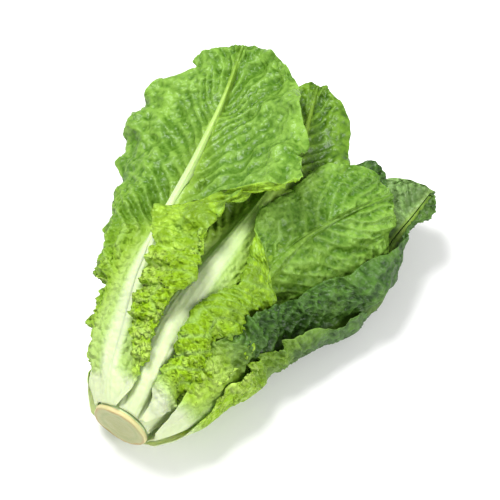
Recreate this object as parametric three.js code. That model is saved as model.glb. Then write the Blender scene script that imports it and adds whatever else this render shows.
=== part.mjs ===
// Romaine lettuce head, lying on its lowest leaf. Millimetres, +Z up, cut face of the stem toward -Y.
import * as THREE from "three";

// Driving dimensions
const AXIS_HEIGHT = 36;
const CUT_RADIUS = 20.4;
const BLADE = 1.0;
const LAYER_GAP = 1.1;
const TABLE = -0.6;
const ROLL_TURN = rad(168);
const ROLL_ARC = 11;
const BASE_SWELL = 18;
const LEAF_LENGTH_SCALE = 1.0;

// The middle of the head is a flat band: half its width at each distance from the cut face
const BAND_AT = [0, 35, 120, 200, 280];
const BAND_HALF = [0, 1, 26, 46, 58];
const BAND_ROUND = 32;

// The core of the stem: distance from the cut face and radius
const STEM_AT = [0, 1.2, 3.2, 3.5, 10, 24, 40, 60, 84];
const STEM_RADIUS = [19.4, CUT_RADIUS, CUT_RADIUS, 19.6, 18.6, 15.4, 11.5, 7, 1.5];

// Columns used to keep the leaves apart: count round the head, step and count along it
const ROUND = 168;
const STEP = 3;
const FIRST = -9;
const ALONG = 110;

// Shapes of a blade beside its rib: heading in degrees at the rib, halfway and at the margin,
// positive outward, then the share of the way out where the blade rolls back over itself
const FORMS = {
  flat: [0, 0, 0, 1.5],
  spread: [3, 3, 3, 1.5],
  sprawl: [5, 7, 7, 1.5],
  open: [-4, -18, -34, 1.5],
  cup: [-10, -42, -80, 1.5],
  rise: [10, 20, 10, 1.5],
  strip: [4, 10, 14, 0.5],
  short: [4, 10, 14, 0.3],
  late: [4, 10, 14, 0.85],
  frill: [-4, -6, 30, 1.5],
  pillow: [-22, 12, -30, 1.5],
  swell: [-20, 16, 0, 1.1],
  lobe: [-28, 24, -16, 1.5],
  valley: [-20, 6, -4, 1.5],
  upcurl: [-10, -50, -130, 1.5],
  brim: [-6, -30, -105, 1.5],
};

const GREEN = {
  heart: [0xd9e48f, 0.55],
  light: [0x8fbf3f, 0.5],
  middle: [0x5f9e30, 0.5],
  dark: [0x2f6b2a, 0.5],
  stem: [0xe6e6bd, 0.55],
};

// Leaves from the inside out. A wrapped leaf follows the band at one depth.
// A placed leaf has stations: x, distance from the cut face, height, facing in degrees from up toward +X,
// then width and form of its left and right blade.
const LEAVES = [
  wrapped("leaf_heart_top", "heart", 0.02, 0, 150, 46, [4, 5], 20, 0.3, 12, 2, 3),
  wrapped("leaf_heart_low", "heart", 0.49, 0, 165, 40, [5, 4], 24, 1.3, 12, 2, 3),
  wrapped("leaf_inner_left", "light", -0.2, -0.02, 182, 32, [9, 10], 34, 2.3, 14, 3, 4),
  wrapped("leaf_inner_right", "light", 0.16, 0, 196, 28, [10, 10], 38, 3.3, 14, 3, 4),
  wrapped("leaf_inner_low", "light", 0.46, 0, 214, 24, [11, 9], 46, 4.3, 14, 3, 4),
  placed("leaf_behind_right", "dark", [8, 5], [0, 0.5, 1.5, 2, 2], 0.8, 18, 3, [
    [9, 20, 52, 22, 9, "open", 9, "open"],
    [18, 68, 56, 24, 16, "open", 18, "open"],
    [28, 118, 58, 24, 26, "open", 32, "open"],
    [38, 168, 60, 24, 34, "open", 40, "open"],
    [50, 212, 60, 24, 34, "open", 38, "open"],
    [60, 256, 59, 26, 24, "open", 28, "open"],
  ]),
  placed("leaf_front_middle", "middle", [27, 7.5], [0, 0.6, 1.2, 1.6, 2.2, 2.4], 1.9, 24, 4, [
    [8, 6, 56, 22, 10, "open", 10, "open"],
    [3, 52, 70, 8, 22, "open", 20, "open"],
    [4, 98, 78, 6, 34, "valley", 27, "open"],
    [8, 144, 80, 5, 44, "valley", 34, "open"],
    [10, 188, 80, 6, 46, "valley", 40, "open"],
    [7, 234, 80, 8, 42, "valley", 40, "lobe"],
    [-5, 280, 82, 8, 26, "rise", 34, "lobe"],
  ]),
  placed("leaf_outer_left", "middle", [11, 7], [0, 1.5, 2, 2.4, 2.4, 2], 4.4, 22, 4, [
    [-19, 6, 36, -90, 9, "open", 9, "open"],
    [-36, 36, 34, -92, 20, "open", 26, "frill"],
    [-50, 66, 32, -91, 24, "open", 36, "frill"],
    [-62, 96, 31, -89, 24, "open", 40, "frill"],
    [-70, 126, 33, -86, 24, "open", 36, "frill"],
    [-74, 154, 38, -82, 22, "open", 28, "open"],
  ]),
  placed("leaf_front_right", "light", [7, 4.5], [0, 1.8, 2.4, 2.4, 2.2, 2.2], 2.6, 24, 6, [
    [17, 5, 48, 55, 12, "short", 8, "open"],
    [29, 48, 53, 40, 58, "short", 22, "open"],
    [33, 90, 57, 34, 68, "short", 40, "open"],
    [36, 132, 62, 30, 36, "short", 54, "open"],
    [45, 171, 67, 28, 32, "open", 62, "open"],
    [61, 204, 69, 28, 38, "open", 58, "open"],
    [80, 236, 65, 30, 30, "open", 40, "open"],
  ]),
  placed("leaf_front_left", "light", [14, 7.5], [0, 1.5, 2, 3, 4.4, 4], 0.2, 26, 6, [
    [-10, 4, 54.5, -28, 9, "open", 9, "late"],
    [-25, 51, 67, -28, 23, "open", 52, "strip"],
    [-36, 97, 75, -28, 37, "open", 90, "strip"],
    [-43, 140, 80, -26, 58, "pillow", 94, "strip"],
    [-48, 183, 83, -24, 72, "pillow", 92, "swell"],
    [-55, 231, 86, -20, 71, "pillow", 70, "lobe"],
    [-66, 280, 88, -16, 36, "lobe", 52, "lobe"],
  ]),
  placed("leaf_outer_right", "dark", [11, 7], [0, 1.5, 2.4, 2.8, 2.4, 2], 5.2, 24, 6, [
    [21.5, 4, 36, 92, 9, "open", 9, "open"],
    [33, 50, 34, 104, 26, "cup", 18, "open"],
    [46, 98, 30, 120, 34, "upcurl", 26, "open"],
    [61, 143, 29, 134, 35, "brim", 34, "open"],
    [76, 184, 29, 146, 34, "brim", 44, "open"],
    [90, 226, 31, 154, 30, "brim", 54, "open"],
    [97, 268, 40, 158, 30, "open", 54, "open"],
  ]),
  placed("leaf_under_right", "dark", [12, 7], [0, 1.5, 2, 2.2, 2.2], 3.7, 18, 4, [
    [15, 4, 21, 135, 9, "open", 9, "open"],
    [27, 44, 17, 140, 30, "cup", 24, "open"],
    [38, 84, 14, 146, 38, "cup", 30, "open"],
    [47, 124, 12, 152, 34, "cup", 30, "open"],
    [54, 164, 11, 155, 26, "cup", 28, "open"],
    [60, 200, 10, 156, 16, "open", 22, "open"],
  ]),
  placed("leaf_under_left", "middle", [12, 7], [0, 1, 1.6, 1.8, 1.8], 2.2, 18, 4, [
    [-15, 4, 21, -135, 9, "open", 9, "open"],
    [-25, 50, 17, -140, 26, "open", 24, "open"],
    [-34, 98, 13, -145, 32, "open", 28, "open"],
    [-43, 146, 12, -150, 36, "open", 28, "open"],
    [-50, 192, 11, -152, 34, "open", 26, "open"],
    [-56, 236, 11, -154, 24, "open", 20, "open"],
  ]),
  placed("leaf_under_middle", "middle", [13, 7], [0, 0.8, 1, 1.2, 1.4], 0.9, 18, 4, [
    [0, 4, 14.5, 180, 9, "open", 9, "open"],
    [0, 55, 7, 180, 26, "flat", 26, "flat"],
    [2, 104, 5, 180, 40, "sprawl", 40, "spread"],
    [5, 154, 4, 180, 46, "sprawl", 46, "spread"],
    [10, 204, 4, 180, 44, "sprawl", 44, "spread"],
    [16, 252, 6, 180, 30, "flat", 30, "flat"],
  ]),
];

function placed(name, green, rib, ruffle, phase, rows, outer, stations) {
  return { name, green, rib, ruffle, phase, rows, outer, stations, tipStart: 0.8, wave: 40 };
}

function wrapped(name, green, share, turn, length, start, depth, width, phase, rows, outer, thick) {
  const ruffle = [0, 0.5, 0.9, 1.4, 1.6];
  const wrap = { share, turn, length, start, depth, width };
  return { name, green, rib: [8, thick], ruffle, phase, rows, outer, wrap, tipStart: 0.78, wave: 36 };
}

// Small helpers
function rad(degrees) {
  return (degrees * Math.PI) / 180;
}

function clamp(value, low, high) {
  return Math.min(Math.max(value, low), high);
}

function table(at, value, x) {
  if (x <= at[0]) return value[0];
  for (let k = 1; k < at.length; k++) {
    if (x <= at[k]) {
      const t = (x - at[k - 1]) / (at[k] - at[k - 1]);
      return value[k - 1] + (value[k] - value[k - 1]) * t;
    }
  }
  return value[value.length - 1];
}

function evenly(value, x) {
  return table(value.map((_, k) => k / (value.length - 1)), value, x);
}

function unit(v) {
  const size = Math.max(Math.hypot(v[0], v[1], v[2]), 1e-9);
  return v.map((c) => c / size);
}

function cross(a, b) {
  return [a[1] * b[2] - a[2] * b[1], a[2] * b[0] - a[0] * b[2], a[0] * b[1] - a[1] * b[0]];
}

// A smooth curve through rows that are evenly spaced
function along(rows, u) {
  const last = rows.length - 1;
  const x = clamp(u, 0, 1) * last;
  const k = Math.min(Math.floor(x), last - 1);
  const t = x - k;
  const before = k > 0 ? rows[k - 1] : rows[0].map((c, i) => 2 * c - rows[1][i]);
  const after = k < last - 1 ? rows[k + 2] : rows[last].map((c, i) => 2 * c - rows[last - 1][i]);
  return rows[k].map((b, i) => {
    const [a, c, d] = [before[i], rows[k + 1][i], after[i]];
    const square = 2 * a - 5 * b + 4 * c - d;
    return 0.5 * (2 * b + (c - a) * t + square * t * t + (3 * b - a - 3 * c + d) * t * t * t);
  });
}

// Rows of a leaf: even up to the rounded tip, then closer together
function rowPlaces(count, tipStart) {
  const body = Math.round(count * 0.74);
  const tip = count - body;
  const places = [];
  for (let k = 0; k < body; k++) places.push((tipStart * k) / body);
  for (let k = 0; k <= tip; k++) {
    places.push(tipStart + (0.995 - tipStart) * Math.sin((Math.PI / 2) * (k / tip)));
  }
  return places;
}

// Columns of a leaf: 0 is the midrib, 1 the edge of the rib, 2 the margin
function columnPlaces(outer) {
  const half = [0.5, 1];
  for (let k = 1; k <= outer; k++) half.push(1 + k / outer);
  return [...half.map((c) => -c).reverse(), 0, ...half];
}

function tipShare(u, tipStart) {
  const t = Math.max(u - tipStart, 0) / (1 - tipStart);
  return Math.sqrt(Math.max(1 - t * t, 0));
}

function gridNormals(grid) {
  const [n, m] = [grid.length, grid[0].length];
  return grid.map((row, i) =>
    row.map((_, j) => {
      const [up, down] = [grid[Math.min(i + 1, n - 1)][j], grid[Math.max(i - 1, 0)][j]];
      const [right, left] = [row[Math.min(j + 1, m - 1)], row[Math.max(j - 1, 0)]];
      return unit(cross(right.map((c, k) => c - left[k]), up.map((c, k) => c - down[k])));
    }),
  );
}

// How far the rib stands out at a share of its half width
function ribBulge(thick, share) {
  return thick * Math.pow(Math.max(1 - share * share, 0), 0.75);
}

// Waves of the margin
function ruffled(grid, leaf, places, lengths, shares) {
  const normals = gridNormals(grid);
  return grid.map((row, i) =>
    row.map((p, j) => {
      const side = shares[i][j] > 0 ? 2 : 0;
      const angle = (2 * Math.PI * lengths[i]) / leaf.wave + leaf.phase + side;
      const wave = Math.sin(angle) + 0.45 * Math.sin(1.9 * angle + 1.3);
      const size = evenly(leaf.ruffle, places[i]) * Math.pow(Math.abs(shares[i][j]), 2.2) * wave;
      return p.map((c, k) => c + normals[i][j][k] * size);
    }),
  );
}

// Cross section of one blade as a running curve from the midrib outward
function bladeCurve(width, form) {
  const steps = 40;
  const curve = [[0, 0]];
  for (let k = 0; k < steps; k++) {
    const x = (k + 0.5) / steps;
    const roll = clamp(((x - form[3]) * width) / ROLL_ARC, 0, 1);
    const heading = rad(table([0, 0.5, 1], form, x)) + ROLL_TURN * roll * roll * (3 - 2 * roll);
    const [px, pz] = curve[k];
    curve.push([px + (Math.cos(heading) * width) / steps, pz + (Math.sin(heading) * width) / steps]);
  }
  return (share) => {
    const at = share * steps;
    const k = Math.min(Math.floor(at), steps - 1);
    return [0, 1].map((c) => curve[k][c] * (1 - at + k) + curve[k + 1][c] * (at - k));
  };
}

// Middle surface of a placed leaf
function placedSurface(leaf) {
  const rows = leaf.stations.map(([x, y, z, facing, left, leftForm, right, rightForm]) => [
    x, y * LEAF_LENGTH_SCALE, z, facing, left, ...FORMS[leftForm], right, ...FORMS[rightForm],
  ]);
  const places = rowPlaces(leaf.rows, leaf.tipStart);
  const columns = columnPlaces(leaf.outer);
  const at = places.map((u) => along(rows, u));
  const lengths = [0];
  for (let i = 1; i < at.length; i++) {
    const [a, b] = [at[i - 1], at[i]];
    lengths.push(lengths[i - 1] + Math.hypot(b[0] - a[0], b[1] - a[1], b[2] - a[2]));
  }
  const ribs = [];
  const shares = [];
  const grid = places.map((u, i) => {
    const s = at[i];
    const ahead = along(rows, Math.min(u + 2e-3, 1));
    const behind = along(rows, Math.max(u - 2e-3, 0));
    const tangent = unit([0, 1, 2].map((k) => ahead[k] - behind[k]));
    const facing = [Math.sin(rad(s[3])), 0, Math.cos(rad(s[3]))];
    const lean = facing.reduce((sum, c, k) => sum + c * tangent[k], 0);
    const normal = unit(facing.map((c, k) => c - lean * tangent[k]));
    const side = cross(tangent, normal);
    const ribWidth = leaf.rib[0] * Math.pow(1 - u, 1.6) + 0.9;
    const swell = clamp(lengths[i] / BASE_SWELL, 0.12, 1);
    const ribThick = (leaf.rib[1] * Math.pow(1 - u, 1.4) + 0.5) * swell;
    const blades = [-1, 1].map((sign) => {
      const first = sign < 0 ? 4 : 9;
      const phase = leaf.phase + (sign > 0 ? 2.1 : 0);
      const wobble = Math.sin(lengths[i] / 7 + phase) + Math.sin(lengths[i] / 3.9 + 2 * phase);
      const plain = Math.max(Math.max(s[first], 3) * tipShare(u, leaf.tipStart), 0.6);
      const width = plain * (1 + 0.035 * wobble);
      return { width, rib: Math.min(ribWidth, 0.6 * width), curve: bladeCurve(width, s.slice(first + 1)) };
    });
    ribs.push([]);
    shares.push([]);
    return columns.map((c) => {
      const sign = c < 0 ? -1 : 1;
      const blade = blades[c < 0 ? 0 : 1];
      const far = Math.abs(c);
      const arc = far <= 1 ? blade.rib * far : blade.rib + (blade.width - blade.rib) * (far - 1);
      const [sideways, outward] = blade.curve(arc / blade.width);
      ribs[i].push(ribBulge(ribThick, arc / blade.rib));
      shares[i].push((sign * arc) / blade.width);
      return [0, 1, 2].map((k) => s[k] + sign * side[k] * sideways + normal[k] * outward);
    });
  });
  return { grid: ruffled(grid, leaf, places, lengths, shares), ribs };
}

// The head as a flat band with round sides: a place round it, a depth, and back
function bandHalf(y) {
  return table(BAND_AT, BAND_HALF, y);
}

function bandPoint(y, way, depth) {
  const c = bandHalf(y);
  const half = 2 * c + Math.PI * BAND_ROUND;
  const s = ((((way + half) % (2 * half)) + 2 * half) % (2 * half)) - half;
  const a = Math.abs(s);
  const side = Math.sign(s) || 1;
  if (a < c) return [side * a, y, AXIS_HEIGHT + depth];
  if (a < c + Math.PI * BAND_ROUND) {
    const angle = (a - c) / BAND_ROUND;
    return [side * (c + depth * Math.sin(angle)), y, AXIS_HEIGHT + depth * Math.cos(angle)];
  }
  return [side * (c - (a - c - Math.PI * BAND_ROUND)), y, AXIS_HEIGHT - depth];
}

function bandPlace([x, y, z]) {
  const c = bandHalf(y);
  const up = z - AXIS_HEIGHT;
  const dx = x - clamp(x, -c, c);
  const depth = Math.hypot(dx, up);
  const far = Math.abs(x);
  let way = c + BAND_ROUND * Math.atan2(Math.max(far - c, 0), up);
  if (far < c) way = up >= 0 ? far : 2 * c + Math.PI * BAND_ROUND - far;
  const share = ((x < 0 ? -1 : 1) * way) / (2 * (2 * c + Math.PI * BAND_ROUND));
  const out = depth > 1e-6 ? [dx / depth, 0, up / depth] : [0, 0, 0];
  return { share: (share + 1) % 1, y, depth, out };
}

// Middle surface of a wrapped leaf
function wrappedSurface(leaf) {
  const { share, turn, length, start, depth, width } = leaf.wrap;
  const places = rowPlaces(leaf.rows, leaf.tipStart);
  const columns = columnPlaces(leaf.outer);
  const lengths = places.map((u) => length * u);
  const ribs = [];
  const shares = [];
  const grid = places.map((u, i) => {
    const y = start + lengths[i];
    const around = 2 * (2 * bandHalf(y) + Math.PI * BAND_ROUND);
    const swell = 0.3 + 0.8 * Math.sin(Math.PI * Math.min(1, 0.1 + 0.85 * u));
    const plain = Math.max(width * swell * tipShare(u, leaf.tipStart), 0.8);
    const ribThick = leaf.rib[1] * Math.pow(1 - u, 1.2) + 0.5;
    ribs.push([]);
    shares.push([]);
    return columns.map((c) => {
      const sign = Math.sign(c);
      const full = plain * (1 + 0.04 * Math.sin(lengths[i] / 7 + leaf.phase + sign));
      const rib = Math.min(leaf.rib[0] * Math.pow(1 - u, 1.3) + 1.6, 0.6 * full);
      const far = Math.abs(c);
      const arc = far <= 1 ? rib * far : rib + (full - rib) * (far - 1);
      ribs[i].push(ribBulge(ribThick, arc / rib));
      shares[i].push((sign * arc) / full);
      return bandPoint(y, (share + turn * u) * around + sign * arc, depth[0] + (depth[1] - depth[0]) * u);
    });
  });
  return { grid: ruffled(grid, leaf, places, lengths, shares), ribs };
}

// Outer and inner face of a leaf, with a flat end at the stem
function leafFaces(leaf) {
  const { grid, ribs } = leaf.wrap ? wrappedSurface(leaf) : placedSurface(leaf);
  const normals = gridNormals(grid);
  const moved = (by) => grid.map((row, i) => row.map((p, j) => {
    return p.map((c, k) => c + normals[i][j][k] * by(i, j));
  }));
  const faces = { outer: moved((i, j) => BLADE / 2 + ribs[i][j]), inner: moved(() => -BLADE / 2) };
  const end = Math.min(...grid[0].map((p) => p[1]));
  for (const face of [faces.outer, faces.inner]) {
    for (const p of face[0]) p[1] = end;
  }
  return faces;
}

// Points spread over a face, close enough to stand for it
function samples(face, visit) {
  const per = 6;
  for (let i = 0; i < face.length - 1; i++) {
    for (let j = 0; j < face[0].length - 1; j++) {
      const [a, b, c, d] = [face[i][j], face[i][j + 1], face[i + 1][j], face[i + 1][j + 1]];
      for (let s = 0; s < per * per; s++) {
        const u = (Math.floor(s / per) + 0.5) / per;
        const v = ((s % per) + 0.5) / per;
        visit([0, 1, 2].map((k) => (1 - u) * ((1 - v) * a[k] + v * b[k]) + u * ((1 - v) * c[k] + v * d[k])));
      }
    }
  }
  for (const row of face) for (const p of row) visit(p);
}

function cellOf(place) {
  const i = Math.floor(place.share * ROUND) % ROUND;
  const j = clamp(Math.floor((place.y - FIRST) / STEP), 0, ALONG - 1);
  return i * ALONG + j;
}

// Reading between the centres of the cells
function readCells(cells, place) {
  const fi = place.share * ROUND - 0.5;
  const fj = clamp((place.y - FIRST) / STEP - 0.5, 0, ALONG - 1.001);
  const [i, j] = [Math.floor(fi), Math.floor(fj)];
  const [a, b] = [fi - i, fj - j];
  const at = (p, q) => cells[((p + ROUND) % ROUND) * ALONG + Math.min(q, ALONG - 1)];
  const near = at(i, j) * (1 - a) + at(i + 1, j) * a;
  const next = at(i, j + 1) * (1 - a) + at(i + 1, j + 1) * a;
  return near * (1 - b) + next * b;
}

// Each cell takes on a summary of the cells within reach, first round the head, then along it
function pooled(cells, reach, combine) {
  const pass = (from, pick) => {
    const to = new Float64Array(from.length);
    for (let i = 0; i < ROUND; i++) {
      for (let j = 0; j < ALONG; j++) {
        const near = [];
        for (let d = -reach; d <= reach; d++) near.push(from[pick(i, j, d)]);
        to[i * ALONG + j] = combine(near);
      }
    }
    return to;
  };
  const round = pass(cells, (i, j, d) => ((i + d + ROUND) % ROUND) * ALONG + j);
  return pass(round, (i, j, d) => i * ALONG + clamp(j + d, 0, ALONG - 1));
}

// Moves a leaf outward wherever it would touch what is already there
function settle(faces, filled) {
  const reach = 4;
  for (let round = 0; round < 9; round++) {
    const low = new Float64Array(ROUND * ALONG).fill(Infinity);
    for (const face of [faces.outer, faces.inner]) {
      samples(face, (p) => {
        const place = bandPlace(p);
        const cell = cellOf(place);
        low[cell] = Math.min(low[cell], place.depth);
      });
    }
    const need = low.map((depth, k) => Math.max(filled[k] + LAYER_GAP - depth, 0));
    if (Math.max(...need) < 0.25) break;
    const lift = pooled(pooled(need, reach, (near) => Math.max(...near)), reach, (near) => {
      return near.reduce((sum, c) => sum + c, 0) / near.length;
    });
    for (const face of [faces.outer, faces.inner]) {
      for (const row of face) {
        for (const p of row) {
          const place = bandPlace(p);
          const by = readCells(lift, place);
          p[0] += place.out[0] * by;
          p[2] += place.out[2] * by;
        }
      }
    }
  }
  for (const face of [faces.outer, faces.inner]) {
    samples(face, (p) => {
      const place = bandPlace(p);
      const cell = cellOf(place);
      filled[cell] = Math.max(filled[cell], place.depth);
    });
  }
}

// The lowest leaf is pressed flat where it meets the table
function press(faces) {
  faces.outer.forEach((row, i) => {
    row.forEach((p, j) => {
      const q = faces.inner[i][j];
      if (p[2] < TABLE) q[2] = Math.max(q[2], TABLE + BLADE);
      p[2] = Math.max(p[2], TABLE);
    });
  });
}

// A closed body between two faces; both are split into triangles the same way
function leafGeometry({ outer, inner }) {
  const [n, m] = [outer.length, outer[0].length];
  const points = [...outer.flat(), ...inner.flat()];
  const back = n * m;
  const index = [];
  for (let i = 0; i < n - 1; i++) {
    for (let j = 0; j < m - 1; j++) {
      const [a, b, c, d] = [i * m + j, i * m + j + 1, (i + 1) * m + j + 1, (i + 1) * m + j];
      index.push(a, b, c, a, c, d);
      index.push(a + back, c + back, b + back, a + back, d + back, c + back);
    }
  }
  const border = [];
  for (let j = 0; j < m; j++) border.push(j);
  for (let i = 1; i < n; i++) border.push(i * m + m - 1);
  for (let j = m - 2; j >= 0; j--) border.push((n - 1) * m + j);
  for (let i = n - 2; i > 0; i--) border.push(i * m);
  border.forEach((a, k) => {
    const b = border[(k + 1) % border.length];
    index.push(a, a + back, b + back, a, b + back, b);
  });
  return geometryOf(points, index);
}

// The stem: a cut disc with a slightly uneven rim and a core that tapers between the leaves
function stemGeometry() {
  const around = 48;
  const points = [];
  const index = [];
  STEM_AT.forEach((y, k) => {
    for (let i = 0; i < around; i++) {
      const angle = (2 * Math.PI * i) / around;
      const uneven = k < 3 ? 1 - 0.02 * (1 + Math.cos(5 * angle + 1)) : 1;
      const radius = STEM_RADIUS[k] * uneven;
      points.push([radius * Math.sin(angle), y, AXIS_HEIGHT + radius * Math.cos(angle)]);
    }
  });
  const last = (STEM_AT.length - 1) * around;
  points.push([0, 0, AXIS_HEIGHT], [0, STEM_AT[STEM_AT.length - 1], AXIS_HEIGHT]);
  for (let i = 0; i < around; i++) {
    const j = (i + 1) % around;
    for (let k = 0; k < STEM_AT.length - 1; k++) {
      const [a, b] = [k * around, (k + 1) * around];
      index.push(a + i, a + j, b + j, a + i, b + j, b + i);
    }
    index.push(points.length - 2, j, i, points.length - 1, last + i, last + j);
  }
  return geometryOf(points, index);
}

function geometryOf(points, index) {
  const geometry = new THREE.BufferGeometry();
  geometry.setAttribute("position", new THREE.Float32BufferAttribute(points.flat(), 3));
  geometry.setIndex(index);
  geometry.computeVertexNormals();
  return geometry;
}

function pieceOf(name, green, geometry) {
  const [color, roughness] = GREEN[green];
  const mesh = new THREE.Mesh(geometry, new THREE.MeshStandardMaterial({ color, roughness, metalness: 0 }));
  mesh.name = name;
  return mesh;
}

// The whole head, with its origin at the bottom centre of its box
function lettuceHead() {
  const filled = new Float64Array(ROUND * ALONG);
  for (let i = 0; i < ROUND; i++) {
    for (let j = 0; j < ALONG; j++) {
      const y = FIRST + (j + 0.5) * STEP;
      const inside = y > -1 && y < STEM_AT[STEM_AT.length - 1] + 2;
      filled[i * ALONG + j] = inside ? table(STEM_AT, STEM_RADIUS, y) + 0.2 : 0;
    }
  }
  const group = new THREE.Group();
  group.name = "romaine_lettuce_head";
  group.add(pieceOf("stem", "stem", stemGeometry()));
  for (const leaf of LEAVES) {
    const faces = leafFaces(leaf);
    settle(faces, filled);
    if (leaf.name.includes("under")) press(faces);
    group.add(pieceOf(leaf.name, leaf.green, leafGeometry(faces)));
  }
  const box = new THREE.Box3().setFromObject(group);
  const centre = box.getCenter(new THREE.Vector3());
  for (const mesh of group.children) mesh.geometry.translate(-centre.x, -centre.y, -box.min.z);
  return group;
}

const group = lettuceHead();

export default group;
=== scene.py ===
"""Romaine lettuce head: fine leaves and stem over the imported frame. Shapes are worked out in millimetres."""
import math
from types import SimpleNamespace
import bpy
import numpy as np
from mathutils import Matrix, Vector


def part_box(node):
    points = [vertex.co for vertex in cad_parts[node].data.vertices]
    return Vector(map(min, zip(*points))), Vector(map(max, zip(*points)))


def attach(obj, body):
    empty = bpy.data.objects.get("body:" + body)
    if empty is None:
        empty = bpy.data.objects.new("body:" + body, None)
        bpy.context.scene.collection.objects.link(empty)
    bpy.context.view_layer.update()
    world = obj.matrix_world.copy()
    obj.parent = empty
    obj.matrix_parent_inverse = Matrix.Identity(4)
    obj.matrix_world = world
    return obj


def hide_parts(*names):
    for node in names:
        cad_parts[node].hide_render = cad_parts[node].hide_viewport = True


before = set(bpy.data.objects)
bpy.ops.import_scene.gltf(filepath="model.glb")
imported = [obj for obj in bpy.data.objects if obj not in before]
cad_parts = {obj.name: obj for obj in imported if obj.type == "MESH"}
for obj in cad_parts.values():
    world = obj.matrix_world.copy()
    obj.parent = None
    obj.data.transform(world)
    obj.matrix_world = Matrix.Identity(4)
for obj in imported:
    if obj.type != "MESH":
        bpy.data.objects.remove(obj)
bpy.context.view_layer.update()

# Driving values in millimetres, the solids' own except for the fine blade
AXIS_HEIGHT = 36
CUT_RADIUS = 20.4
BLADE = 1.0
FINE_BLADE = 0.7
LAYER_GAP = 1.1
TABLE = -0.6
ROLL_TURN = math.radians(168)
ROLL_ARC = 11
BASE_SWELL = 18

# The middle of the head is a flat band: half its width at each distance from the cut face
BAND_AT = [0, 35, 120, 200, 280]
BAND_HALF = [0, 1, 26, 46, 58]
BAND_ROUND = 32

# The core of the stem: distance from the cut face and radius
STEM_AT = [0, 1.2, 3.2, 3.5, 10, 24, 40, 60, 84]
STEM_RADIUS = [19.4, CUT_RADIUS, CUT_RADIUS, 19.6, 18.6, 15.4, 11.5, 7, 1.5]

# Columns used to keep the leaves apart: count round the head, step and count along it
ROUND = 168
STEP = 3
FIRST = -9
ALONG = 110

# Heading of a blade at the rib, halfway and at the margin, in degrees, and the share where it rolls back
FORMS = {
    "flat": (0, 0, 0, 1.5),
    "spread": (3, 3, 3, 1.5),
    "sprawl": (5, 7, 7, 1.5),
    "open": (-4, -18, -34, 1.5),
    "cup": (-10, -42, -80, 1.5),
    "rise": (10, 20, 10, 1.5),
    "strip": (4, 10, 14, 0.5),
    "short": (4, 10, 14, 0.3),
    "late": (4, 10, 14, 0.85),
    "frill": (-4, -6, 30, 1.5),
    "pillow": (-22, 12, -30, 1.5),
    "swell": (-20, 16, 0, 1.1),
    "lobe": (-28, 24, -16, 1.5),
    "valley": (-20, 6, -4, 1.5),
    "upcurl": (-10, -50, -130, 1.5),
    "brim": (-6, -30, -105, 1.5),
}


def placed(name, green, rib, ruffle, phase, rows, outer, stations):
    return dict(name=name, green=green, rib=rib, ruffle=ruffle, phase=phase, rows=rows, outer=outer,
                stations=stations, wrap=None, tip_start=0.8, wave=40)


def wrapped(name, green, share, turn, length, start, depth, width, phase, rows, outer, thick):
    wrap = dict(share=share, turn=turn, length=length, start=start, depth=depth, width=width)
    return dict(name=name, green=green, rib=[8, thick], ruffle=[0, 0.5, 0.9, 1.4, 1.6], phase=phase,
                rows=rows, outer=outer, wrap=wrap, tip_start=0.78, wave=36)


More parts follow.
